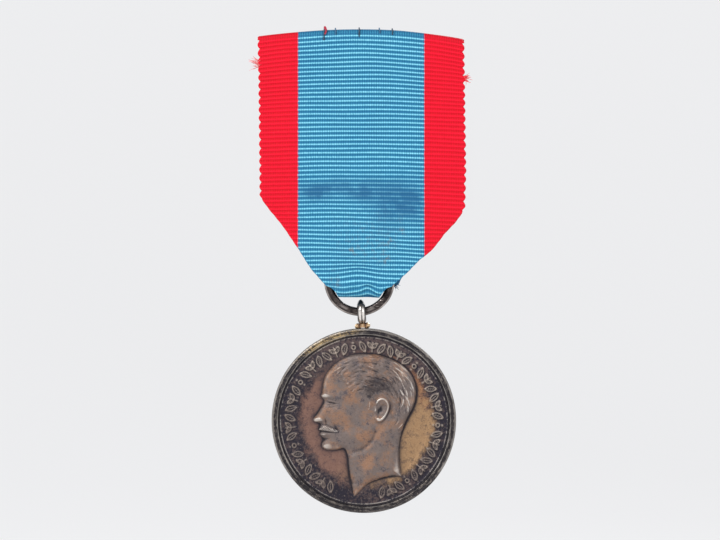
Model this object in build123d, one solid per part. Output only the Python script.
from build123d import *
import os
from math import atan2, cos, degrees, hypot, radians, sqrt

# Service medal that hangs by its brooch needle: +Z up, the medal's face towards -Y, millimetres.
# The origin lies on the needle's axis, at the middle of the needle's free stretch.

# Ribbon: one woven strip, doubled over the ring
RIBBON_LEFT = -18.4        # left selvedge
RIBBON_RIGHT = 18.6        # right selvedge
RIBBON_TOP = 5.0           # crest of the top fold
TOP_LEFT_DROP = 1.3        # the top fold is arched, and its ends lie this much lower
TOP_RIGHT_DROP = 1.8
CLOTH = 0.5                # thickness of one layer
HEM_THICKNESS = 0.8        # the turned-in ends, between the two layers
HEM_DEPTH = 11.0
HEM_INSET = 0.8            # the hem's ends keep this far in from the selvedges
LAYER_GAP = 0.05           # between pieces of cloth that lie on each other

# Lower ribbon, folded in from both sides to a narrow end that passes through the ring
BEND_Z = -16.0             # line about which the lower ribbon bends
BEND_GAP = 1.1             # the two stretches of ribbon stop this far from that line
LEFT_CORNER_Z = -25.0      # where the left selvedge turns in
RIGHT_CORNER_Z = -27.3
LEFT_KNEE = (-7.0, -40.5)  # the side folds steepen a little here
RIGHT_KNEE = (6.3, -40.5)
TAIL_END_Z = -41.6         # the flat layers end here and the end fold begins
TAIL_END_LEFT = -5.7
TAIL_END_RIGHT = 5.0
FLAP_REACH = 9.0           # how far a turned-in side reaches across behind its layer
FLAP_INSET = 0.5           # the flap lies this far inside the side fold
END_FOLD_CLEARANCE = 0.33  # between the end fold and the inside of the ring
EYE_FOLD_GAP = 0.225       # least gap between the end fold and the eye as the ring turns

# Ring
RING_RADIUS = 6.34         # outside
RING_BAND = 1.5            # radial width of its wire
RING_DEPTH = 1.3           # the wire is slightly flattened
RING_X = -0.3
RING_Z = -40.14
RING_CLEARANCE = 0.35      # between the ring and the turned-in cloth
RING_TURN = 20.0           # degrees that the ring turns each way in the end fold

# Medal
DISC_RADIUS = 16.5
DISC_X = 0.5
RIM_GAP = 0.82             # between the eye's outside and the disc's edge
RIM_THICKNESS = 2.4
RIM_WIDTH = 1.1
BORDER_THICKNESS = 1.7     # through the band of ornament between the rim and the field
FIELD_RADIUS = 11.4
FIELD_THICKNESS = 1.5
BUST_RISE = 0.45           # height of the head over the field
HEAD_LENGTH = 14.0
HEAD_WIDTH = 12.5
HEAD_Z = 2.6               # centre of the head over the disc's centre
NECK_WIDTH = 7.5
NECK_DROP = 10.6           # from the disc's centre down to the cut of the neck
WREATH_RADIUS = 12.6       # raised wreath on the reverse
WREATH_WIDTH = 1.8

# Suspension eye and its foot
EYE_WIRE = 0.65            # radius of the eye's wire
EYE_CLEARANCE = 0.15       # between the eye and the ring's wire
EYE_LEAN = 4.0             # degrees
EYE_X = 0.05
FOOT_WIDTH = 2.9
FOOT_HEIGHT = 1.5
FOOT_DEPTH = 2.0
FOOT_X = 0.25
FOOT_LOBE = 0.62           # radius of the rounded lobes at its two ends

# Brooch
PLATE_LENGTH = 31.0
PLATE_HEIGHT = 6.4
PLATE_THICKNESS = 0.6
PLATE_CORNER = 1.4
SEAM_GAP = 0.1             # between the plate and the ribbon
NEEDLE_RADIUS = 0.4
NEEDLE_STANDOFF = 2.4      # from the back of the plate to the needle's axis
HINGE_X = 12.0
FREE_STRETCH = 17.0        # length of the needle's parallel part
POINT_LENGTH = 6.5
POINT_RADIUS = 0.1
KNUCKLE_RADIUS = 1.15
KNUCKLE_HEIGHT = 1.8
RIVET_RADIUS = 0.55
RIVET_HEAD_RADIUS = 0.95
RIVET_HEAD = 0.35
RIVET_CLEARANCE = 0.06     # running fit of the needle on its rivet
EAR_THICKNESS = 0.5
EAR_CLEARANCE = 0.08       # between the needle's knuckle and each ear
BRACKET_LENGTH = 2.7
BRACKET_FLOOR = 0.5
CATCH_WALL = 0.45
CATCH_LENGTH = 2.0
CATCH_CLEARANCE = 0.12     # round the needle inside the catch

# Thread
THREAD = 0.22              # radius
SEWING_HOLE = 0.4          # radius of the plate's sewing holes
SEWING_INSET = 1.1         # from the plate's edge to a hole's centre
SEWING_STATIONS = (-13.6, -7.6, 0.0, 7.6)
TOP_STITCHES = ((-6.6, 2.0), (-4.6, 1.3), (-0.3, 1.9), (3.3, 1.2), (5.6, 1.7))  # place, front leg
TOP_STITCH_BACK = 0.8      # length of each top stitch's leg behind the fold

# Worked out from the sizes above
PLATE_BACK = -NEEDLE_STANDOFF
PLATE_FRONT = PLATE_BACK - PLATE_THICKNESS
RIBBON_HALF = HEM_THICKNESS / 2 + LAYER_GAP + CLOTH
MID_Y = PLATE_FRONT - SEAM_GAP - RIBBON_HALF
WIRE_RADIUS = RING_RADIUS - RING_BAND / 2
EYE_Z = RING_Z - sqrt(WIRE_RADIUS ** 2 - (EYE_X - RING_X) ** 2)
EYE_INNER = max(RING_BAND, RING_DEPTH) / 2 + EYE_CLEARANCE
EYE_OUTER = EYE_INNER + 2 * EYE_WIRE
DISC_Z = EYE_Z - EYE_OUTER - RIM_GAP - DISC_RADIUS
END_FOLD_DROP = (WIRE_RADIUS - EYE_OUTER) * cos(radians(RING_TURN)) - EYE_FOLD_GAP
END_FOLD_Z = RING_Z - END_FOLD_DROP
END_FOLD_WIDTH = 2 * sqrt((RING_RADIUS - RING_BAND - END_FOLD_CLEARANCE) ** 2 - END_FOLD_DROP ** 2)
FLAP_FACE = RING_DEPTH / 2 + RING_CLEARANCE
TAIL_FACE = FLAP_FACE + CLOTH + LAYER_GAP
TAIL_SLOPE = degrees(atan2(TAIL_FACE + CLOTH - RIBBON_HALF, BEND_Z - BEND_GAP - TAIL_END_Z))
NEEDLE_START = FREE_STRETCH / 2
NEEDLE_END = -FREE_STRETCH / 2
CATCH_X = NEEDLE_END - POINT_LENGTH * 0.3


def slab(outline, near, far):
    """A flat solid with this outline in the XZ plane, from y = near to y = far."""
    face = Plane((0, near, 0), x_dir=(1, 0, 0), z_dir=(0, -1, 0)) * make_face(outline)
    return extrude(face, amount=far - near, dir=(0, 1, 0))


def rod(start, end, radius):
    """A round rod between two points."""
    along = Vector(*end) - Vector(*start)
    return Plane(origin=start, z_dir=along) * Cylinder(
        radius, along.length, align=(Align.CENTER, Align.CENTER, Align.MIN)
    )


def write(node, *solids):
    """One node of the medal, as a group of the solids that it is given."""
    shape = solids[0] if len(solids) == 1 else Compound(children=list(solids))
    export_step(shape, f"parts/{node}.step")


# ---------------------------------------------------------------- ribbon


def upper_outline():
    """The ribbon above its bend, with the arched top fold."""
    left = RIBBON_TOP - TOP_LEFT_DROP
    right = RIBBON_TOP - TOP_RIGHT_DROP
    foot = BEND_Z + BEND_GAP
    top = ThreePointArc((RIBBON_LEFT, left), (0, RIBBON_TOP), (RIBBON_RIGHT, right))
    sides = Polyline((RIBBON_RIGHT, right), (RIBBON_RIGHT, foot), (RIBBON_LEFT, foot), (RIBBON_LEFT, left))
    return Wire(top.edges() + sides.edges())


def upper_panels():
    """The front and back layers over the brooch, and the turned-in ends between them."""
    front = slab(upper_outline(), MID_Y - RIBBON_HALF, MID_Y - RIBBON_HALF + CLOTH)
    back = slab(upper_outline(), MID_Y + RIBBON_HALF - CLOTH, MID_Y + RIBBON_HALF)
    top = RIBBON_TOP - max(TOP_LEFT_DROP, TOP_RIGHT_DROP) - HEM_INSET
    hem = Pos((RIBBON_LEFT + RIBBON_RIGHT) / 2, MID_Y, top - HEM_DEPTH / 2) * Box(
        RIBBON_RIGHT - RIBBON_LEFT - 2 * HEM_INSET, HEM_THICKNESS, HEM_DEPTH
    )
    return front, back, hem


def tail_outline():
    """The ribbon below its bend, narrowed by the two side folds."""
    top = BEND_Z - BEND_GAP
    return Polyline(
        (RIBBON_LEFT, top),
        (RIBBON_RIGHT, top),
        (RIBBON_RIGHT, RIGHT_CORNER_Z),
        RIGHT_KNEE,
        (TAIL_END_RIGHT, TAIL_END_Z),
        (TAIL_END_LEFT, TAIL_END_Z),
        LEFT_KNEE,
        (RIBBON_LEFT, LEFT_CORNER_Z),
        close=True,
    )


def flap_outline(side):
    """The cloth turned in at one side: -1 for the left and 1 for the right."""
    selvedge, corner, knee = (
        (RIBBON_RIGHT, RIGHT_CORNER_Z, RIGHT_KNEE) if side > 0 else (RIBBON_LEFT, LEFT_CORNER_Z, LEFT_KNEE)
    )
    outer_top = (selvedge - side * 2 * FLAP_INSET, corner - FLAP_INSET)
    outer_end = (knee[0] - side * FLAP_INSET, knee[1] + FLAP_INSET)
    along = Vector(*outer_end) - Vector(*outer_top)
    middle = Vector(*outer_top) + along * 0.55
    inward = Vector(-side * abs(along.Y), abs(along.X)).normalized()
    reach = middle + inward * FLAP_REACH
    inner_end = (outer_end[0] - side * 3.2, outer_end[1] + 0.6)
    return Polyline(outer_top, (reach.X, reach.Y), inner_end, outer_end, close=True)


def leaning(outline, face, thickness, side):
    """A layer of the lower ribbon, on the front (-1) or back (1), spread to pass over the ring."""
    near, far = sorted((MID_Y + side * face, MID_Y + side * (face + thickness)))
    tilt = Axis((0, MID_Y + side * face, TAIL_END_Z), (1, 0, 0))
    return slab(outline, near, far).rotate(tilt, side * TAIL_SLOPE)


def end_fold():
    """The end of the doubled ribbon, which turns back through the ring."""
    outer = TAIL_FACE + CLOTH
    inner = TAIL_FACE
    axis_z = END_FOLD_Z + outer
    turn = Plane((RING_X - END_FOLD_WIDTH / 2, MID_Y, axis_z), x_dir=(0, 1, 0), z_dir=(1, 0, 0))
    half_ring = Circle(outer) - Circle(inner) - Pos(0, outer / 2) * Rectangle(2 * outer, outer)
    fold = extrude(turn * half_ring, END_FOLD_WIDTH, dir=(1, 0, 0))
    top = TAIL_END_Z - LAYER_GAP
    if top > axis_z:
        for side in (-1, 1):
            fold += Pos(RING_X, MID_Y + side * (inner + CLOTH / 2), (axis_z + top) / 2) * Box(
                END_FOLD_WIDTH, CLOTH, top - axis_z
            )
    else:
        fold -= Pos(RING_X, MID_Y, top + outer) * Box(2 * END_FOLD_WIDTH, 4 * outer, 2 * outer)
    return fold


# ---------------------------------------------------------------- ring, eye and medal


def ring():
    """The suspension ring, a wire a little flatter than it is wide."""
    section = Plane.XZ * Pos(WIRE_RADIUS, 0) * RectangleRounded(RING_BAND, RING_DEPTH, RING_DEPTH * 0.42)
    return Pos(RING_X, MID_Y, RING_Z) * Rot(90, 0, 0) * revolve(section, Axis.Z)


def eye():
    """The small loop across the ring's wire."""
    loop = Rot(0, 90, 0) * Torus(EYE_OUTER - EYE_WIRE, EYE_WIRE)
    return Pos(EYE_X, MID_Y, EYE_Z) * Rot(0, -EYE_LEAN, 0) * loop


def disc_blank():
    """The struck disc without its relief: a raised rim, a border band and a sunken field."""
    half_rim, half_border, half_field = RIM_THICKNESS / 2, BORDER_THICKNESS / 2, FIELD_THICKNESS / 2
    inner_rim = DISC_RADIUS - RIM_WIDTH
    edge_round = 0.25
    front = [
        (0, half_field),
        (FIELD_RADIUS, half_field),
        (FIELD_RADIUS + 0.2, half_border),
        (inner_rim - 0.3, half_border),
        (inner_rim, half_rim),
        (DISC_RADIUS - edge_round, half_rim),
        (DISC_RADIUS, half_rim - edge_round),
    ]
    back = [(r, -h) for r, h in reversed(front)]
    section = Plane.XZ * make_face(Polyline(*front, *back, close=True))
    return revolve(section, Axis.Z)


def bust():
    """A plain raised head and neck, in the place and size of the head in relief."""
    head = Pos(0, HEAD_Z) * Ellipse(HEAD_WIDTH / 2, HEAD_LENGTH / 2)
    neck = Polyline(
        (-NECK_WIDTH / 2, 0),
        (NECK_WIDTH / 2, 0),
        (NECK_WIDTH / 2 + 1.2, -NECK_DROP + 1.5),
        (0, -NECK_DROP),
        (-NECK_WIDTH / 2 - 0.6, -NECK_DROP + 1.0),
        close=True,
    )
    outline = head + make_face(neck)
    return Pos(0, 0, FIELD_THICKNESS / 2) * extrude(outline, BUST_RISE)


def medal_disc():
    """The disc with its head in front and a raised wreath behind, face towards -Y."""
    wreath = Circle(WREATH_RADIUS + WREATH_WIDTH / 2) - Circle(WREATH_RADIUS - WREATH_WIDTH / 2)
    lift = RIM_THICKNESS / 2 - 0.1 - BORDER_THICKNESS / 2
    behind = Pos(0, 0, -BORDER_THICKNESS / 2 - lift) * extrude(wreath, lift)
    struck = disc_blank() + bust() + behind
    return Pos(DISC_X, MID_Y, DISC_Z) * Rot(90, 0, 0) * struck


def eye_foot(loop, disc):
    """The lobed foot that holds the eye on the disc's edge, seated on both."""
    top = DISC_Z + DISC_RADIUS + FOOT_HEIGHT * 0.72
    middle = top - FOOT_HEIGHT / 2
    block = Pos(FOOT_X, MID_Y, middle) * Box(FOOT_WIDTH - 2 * FOOT_LOBE, FOOT_DEPTH, FOOT_HEIGHT)
    for side in (-1, 1):
        lobe_x = FOOT_X + side * (FOOT_WIDTH / 2 - FOOT_LOBE)
        block += Pos(lobe_x, MID_Y, middle - 0.05) * Rot(90, 0, 0) * Cylinder(FOOT_LOBE, FOOT_DEPTH)
    block -= Pos(DISC_X, MID_Y, DISC_Z) * Rot(90, 0, 0) * Cylinder(DISC_RADIUS, 2 * FOOT_DEPTH)
    return block - loop


# ---------------------------------------------------------------- brooch


def sewing_holes():
    """The places of the plate's sewing holes, with the side of the plate that each is near."""
    return [
        (x, side * (PLATE_HEIGHT / 2 - SEWING_INSET), side)
        for x in SEWING_STATIONS
        for side in (-1, 1)
    ]


def brooch_plate():
    """The plate behind the ribbon that carries the hinge and the catch."""
    outline = RectangleRounded(PLATE_LENGTH, PLATE_HEIGHT, PLATE_CORNER)
    for x, z, _ in sewing_holes():
        outline -= Pos(x, z) * Circle(SEWING_HOLE)
    plate = extrude(outline, PLATE_THICKNESS)
    return Pos(0, PLATE_BACK, 0) * Rot(90, 0, 0) * plate


def hinge_bracket():
    """Two ears on a foot, across the end of the plate, that hold the needle's rivet."""
    inner = KNUCKLE_HEIGHT / 2 + EAR_CLEARANCE
    height = 2 * (inner + EAR_THICKNESS)
    foot = Pos(HINGE_X, PLATE_BACK + BRACKET_FLOOR / 2, 0) * Box(BRACKET_LENGTH, BRACKET_FLOOR, height)
    bracket = foot
    ear_depth = NEEDLE_STANDOFF
    for side in (-1, 1):
        z = side * (inner + EAR_THICKNESS / 2)
        ear = Pos(HINGE_X, PLATE_BACK + ear_depth / 2, z) * Box(BRACKET_LENGTH, ear_depth, EAR_THICKNESS)
        ear += Pos(HINGE_X, 0, z) * Cylinder(BRACKET_LENGTH / 2, EAR_THICKNESS)
        bracket += ear
    return bracket - Pos(HINGE_X, 0, 0) * Cylinder(RIVET_RADIUS, 2 * height)


def hinge_rivet():
    """The rivet on which the needle turns, headed over both ears."""
    half = KNUCKLE_HEIGHT / 2 + EAR_CLEARANCE + EAR_THICKNESS
    rivet = Pos(HINGE_X, 0, 0) * Cylinder(RIVET_RADIUS, 2 * half)
    for side in (-1, 1):
        head = Pos(HINGE_X, 0, side * (half + RIVET_HEAD / 2)) * Cylinder(RIVET_HEAD_RADIUS, RIVET_HEAD)
        rivet += head
    return rivet


def needle():
    """The needle: a bored knuckle, a neck, a parallel stretch and a long point."""
    knuckle = Pos(HINGE_X, 0, 0) * Cylinder(KNUCKLE_RADIUS, KNUCKLE_HEIGHT)
    neck_length = HINGE_X - NEEDLE_START
    neck = Pos(NEEDLE_START, 0, 0) * Rot(0, 90, 0) * Cone(
        NEEDLE_RADIUS, NEEDLE_RADIUS * 1.5, neck_length, align=(Align.CENTER, Align.CENTER, Align.MIN)
    )
    shank = rod((NEEDLE_START, 0, 0), (NEEDLE_END, 0, 0), NEEDLE_RADIUS)
    point = Pos(NEEDLE_END, 0, 0) * Rot(0, -90, 0) * Cone(
        NEEDLE_RADIUS, POINT_RADIUS, POINT_LENGTH, align=(Align.CENTER, Align.CENTER, Align.MIN)
    )
    bore = Pos(HINGE_X, 0, 0) * Cylinder(RIVET_RADIUS + RIVET_CLEARANCE, 2 * KNUCKLE_HEIGHT)
    return knuckle + neck + shank + point - bore


def catch_clip():
    """The spring clip that the needle snaps into from behind."""
    pocket = NEEDLE_RADIUS + CATCH_CLEARANCE
    outer = pocket + CATCH_WALL
    body = Circle(outer) + Pos(0, -NEEDLE_STANDOFF / 2) * Rectangle(2 * outer * 0.8, NEEDLE_STANDOFF)
    lips = Pos(0, outer * 0.85) * Rectangle(2 * outer * 0.9, CATCH_WALL)
    mouth = Pos(0, outer) * Rectangle(2 * pocket * 0.92, 2 * outer)
    section = body + lips - Circle(pocket) - mouth
    across = Plane((CATCH_X - CATCH_LENGTH / 2, 0, 0), x_dir=(0, 0, -1), z_dir=(1, 0, 0))
    return extrude(across * section, CATCH_LENGTH, dir=(1, 0, 0))


# ---------------------------------------------------------------- thread


def brooch_stitches():
    """One thread through each sewing hole, over the plate's edge and into the ribbon."""
    stitches = []
    sink = PLATE_FRONT - SEAM_GAP
    over = PLATE_BACK + THREAD
    for x, z, side in sewing_holes():
        edge = side * (PLATE_HEIGHT / 2 + THREAD + SEAM_GAP)
        bar = rod((x, over, z), (x, over, edge), THREAD)
        bar += rod((x, sink, z), (x, over, z), THREAD)
        bar += rod((x, sink, edge), (x, over, edge), THREAD)
        bar += Pos(x, over, z) * Sphere(THREAD)
        bar += Pos(x, over, edge) * Sphere(THREAD)
        stitches.append(bar)
    return stitches


def top_height(x):
    """The height of the arched top fold at x, on the circle through its two ends and its crest."""
    left_rise = (RIBBON_LEFT ** 2 + TOP_LEFT_DROP ** 2) / 2
    right_rise = (RIBBON_RIGHT ** 2 + TOP_RIGHT_DROP ** 2) / 2
    spread = RIBBON_LEFT * TOP_RIGHT_DROP - RIBBON_RIGHT * TOP_LEFT_DROP
    middle = (left_rise * TOP_RIGHT_DROP - right_rise * TOP_LEFT_DROP) / spread
    depth = (RIBBON_LEFT * right_rise - RIBBON_RIGHT * left_rise) / spread
    return RIBBON_TOP - depth + sqrt(hypot(middle, depth) ** 2 - (x - middle) ** 2)


def top_stitches():
    """The threads that close the top fold, each a short loop over its edge."""
    stitches = []
    for x, leg in TOP_STITCHES:
        over = top_height(x) + THREAD + LAYER_GAP
        reach = RIBBON_HALF + THREAD + LAYER_GAP
        loop = rod((x, MID_Y - reach, over), (x, MID_Y + reach, over), THREAD)
        for y, length in ((MID_Y - reach, leg), (MID_Y + reach, TOP_STITCH_BACK)):
            loop += rod((x, y, over), (x, y, over - length), THREAD)
            loop += Pos(x, y, over) * Sphere(THREAD)
            loop += Pos(x, y, over - length) * Sphere(THREAD)
        stitches.append(loop)
    return stitches


os.makedirs("parts", exist_ok=True)

front_panel, back_panel, hem = upper_panels()
write("ribbon_front", front_panel)
write("ribbon_back", back_panel)
write("ribbon_hem", hem)
write("top_stitches", *top_stitches())
write("brooch_plate", brooch_plate())
write("brooch_stitches", *brooch_stitches())
write("hinge_bracket", hinge_bracket())
write("hinge_rivet", hinge_rivet())
write("catch_clip", catch_clip())
write("needle", needle())

write("ribbon_front_tail", leaning(tail_outline(), TAIL_FACE, CLOTH, -1))
write("ribbon_back_tail", leaning(tail_outline(), TAIL_FACE, CLOTH, 1))
for name, side in (("left", -1), ("right", 1)):
    write(f"{name}_front_flap", leaning(flap_outline(side), FLAP_FACE, CLOTH, -1))
    write(f"{name}_back_flap", leaning(flap_outline(side), FLAP_FACE, CLOTH, 1))
write("ribbon_end_fold", end_fold())

write("ribbon_ring", ring())
disc = medal_disc()
loop = eye()
write("medal_disc", disc)
write("suspension_eye", loop)
write("eye_foot", eye_foot(loop, disc))
